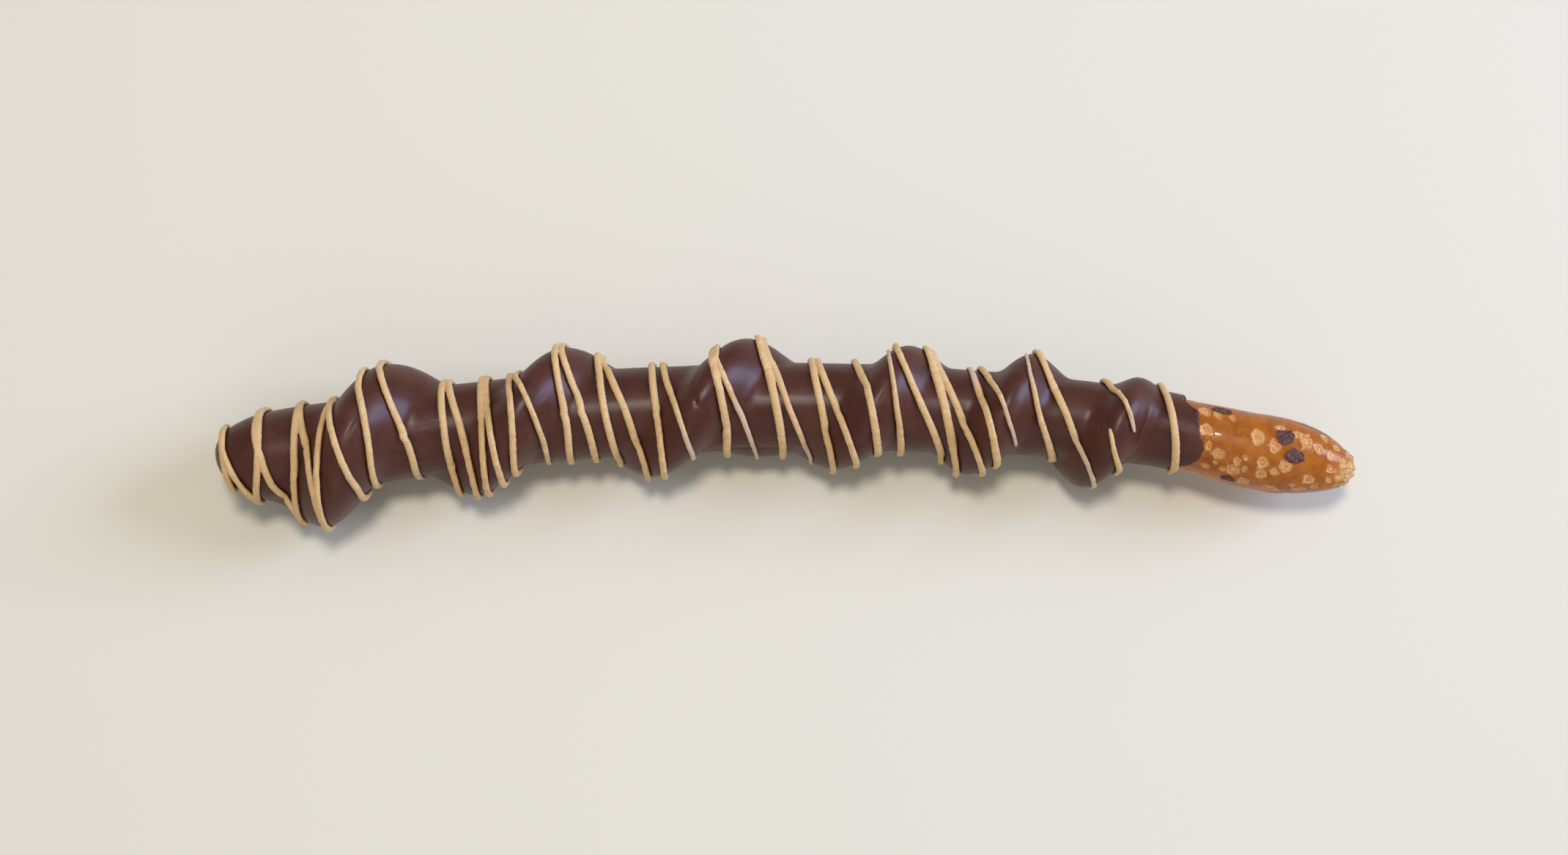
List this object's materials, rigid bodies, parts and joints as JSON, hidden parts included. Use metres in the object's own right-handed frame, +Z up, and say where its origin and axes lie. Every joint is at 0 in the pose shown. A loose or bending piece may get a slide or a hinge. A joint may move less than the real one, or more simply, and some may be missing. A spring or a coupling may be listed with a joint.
{
  "type": "chocolate-dipped pretzel rod",
  "caption": "Long baked pretzel rod dipped in dark chocolate, with a rounded ridge winding round it, thin pale drizzle across the top and a bare baked end.",
  "frame": {"origin": "middle of the part's outline seen from above, on the surface that it lies on", "axes": "+X along the rod from the dipped end to the bare end, +Y towards the side that its bow bulges to, +Z up"},
  "size_m": [0.1934, 0.0348, 0.0247],
  "materials": {
    "baked_crust": "gloss",
    "dark_chocolate": "satin",
    "drizzle": "matte"
  },
  "bodies": {
    "root": {"pretzel_rod": "baked_crust", "chocolate_coat": "dark_chocolate", "drizzle_01": "drizzle", "drizzle_02": "drizzle", "drizzle_03": "drizzle", "drizzle_04": "drizzle", "drizzle_05": "drizzle", "drizzle_06": "drizzle", "drizzle_07": "drizzle", "drizzle_08": "drizzle", "drizzle_09": "drizzle", "drizzle_10": "drizzle", "drizzle_11": "drizzle", "drizzle_12": "drizzle", "drizzle_13": "drizzle", "drizzle_14": "drizzle", "drizzle_15": "drizzle", "drizzle_16": "drizzle", "drizzle_17": "drizzle", "drizzle_18": "drizzle", "drizzle_19": "drizzle", "drizzle_20": "drizzle", "drizzle_21": "drizzle", "drizzle_22": "drizzle", "drizzle_23": "drizzle", "drizzle_24": "drizzle", "drizzle_25": "drizzle", "chocolate_spot_1": "dark_chocolate", "chocolate_spot_2": "dark_chocolate", "chocolate_spot_3": "dark_chocolate", "chocolate_spot_4": "dark_chocolate"}
  },
  "joints": []
}
